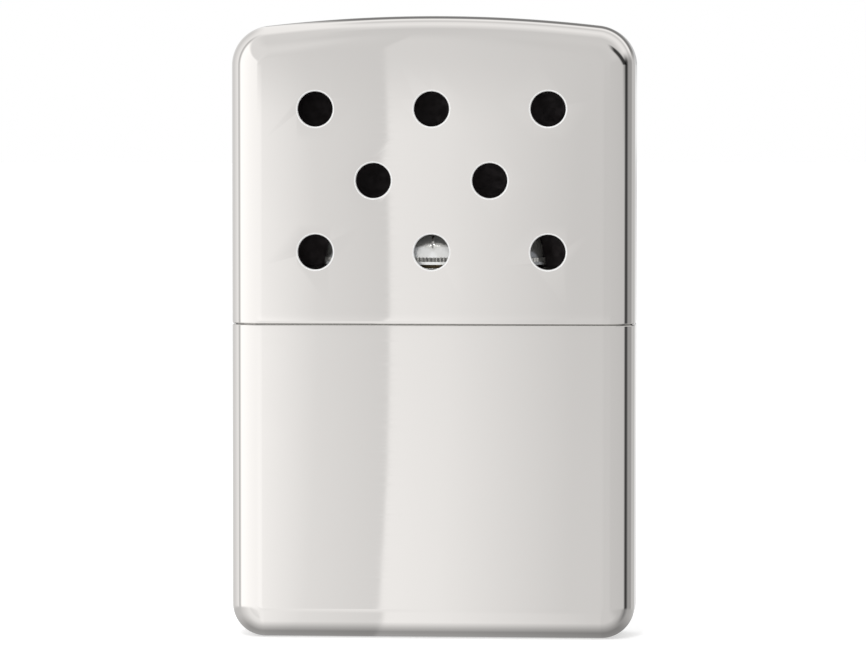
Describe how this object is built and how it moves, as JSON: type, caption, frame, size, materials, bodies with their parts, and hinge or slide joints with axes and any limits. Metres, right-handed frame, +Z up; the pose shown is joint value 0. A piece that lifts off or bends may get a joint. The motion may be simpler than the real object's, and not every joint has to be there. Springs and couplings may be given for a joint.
{
  "type": "catalytic hand warmer",
  "caption": "Flat pocket hand warmer: a polished metal fuel tank with cotton filling, a plug-on catalytic burner on its mouth, and a vented lid that lifts off.",
  "frame": {"origin": "middle of the foot, in the plane that the closed case stands on", "axes": "+X to the right of the vented front, +Y to the plain back, +Z up through the lid's crown"},
  "size_m": [0.0508, 0.0126, 0.0782],
  "materials": {
    "case_chrome": "polished",
    "collar_steel": "satin",
    "neck_brass": "satin",
    "burner_nickel": "bright nickel plate",
    "burner_steel": "matte",
    "catalyst_fibre": "glass fibre wool",
    "cotton": "loose cotton",
    "felt": "pressed felt"
  },
  "bodies": {
    "tank": {"tank_shell": "case_chrome", "tank_collar": "collar_steel", "mouth_neck": "neck_brass", "cotton_batt": "cotton", "wick_pad": "felt"},
    "burner": {"burner_skirt": "burner_nickel", "vapour_plate": "burner_steel", "catalyst_mat": "catalyst_fibre", "catalyst_gauze": "burner_steel", "burner_cage": "burner_nickel"},
    "lid": {"lid_shell": "case_chrome"}
  },
  "joints": [
    {"name": "lid_slide", "type": "slide", "parent": "tank", "child": "lid", "axis": [0, 0, 1], "range_m": [0, 0.03]},
    {"name": "burner_slide", "type": "slide", "parent": "tank", "child": "burner", "axis": [0, 0, 1], "range_m": [0, 0.012]}
  ]
}
